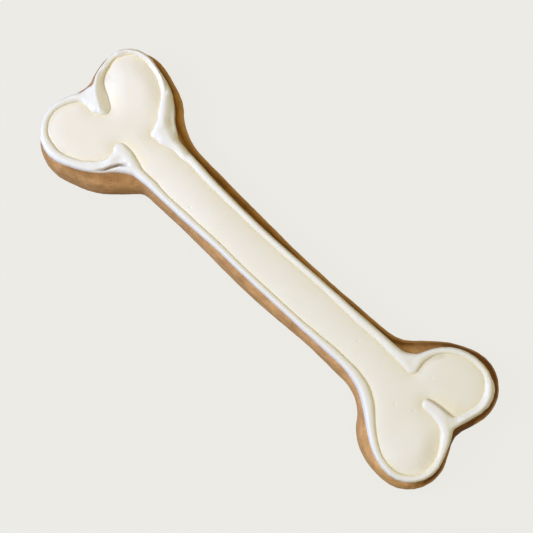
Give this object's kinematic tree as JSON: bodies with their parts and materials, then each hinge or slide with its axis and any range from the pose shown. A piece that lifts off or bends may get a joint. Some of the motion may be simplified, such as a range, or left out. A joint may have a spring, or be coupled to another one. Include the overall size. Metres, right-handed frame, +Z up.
{
  "type": "bone-shaped dog cookie",
  "caption": "Bone-shaped baked dog cookie with a smooth poured icing top inside a raised piped icing outline; rests flat on its underside.",
  "frame": {"origin": "on the flat underside, below the middle of the cookie's bounding box", "axes": "+X along the bone towards the lobes with the free-ending curl of icing, +Y across the bone, +Z up out of the iced face"},
  "size_m": [0.1504, 0.0446, 0.011],
  "materials": {
    "baked_biscuit": "matte baked dough, toasted brown, finely pored",
    "poured_icing": "satin set sugar icing, warm white",
    "piped_icing": "satin set sugar icing, clean white"
  },
  "bodies": {
    "root": {"biscuit": "baked_biscuit", "poured_icing": "poured_icing", "piped_line": "piped_icing"}
  },
  "joints": []
}
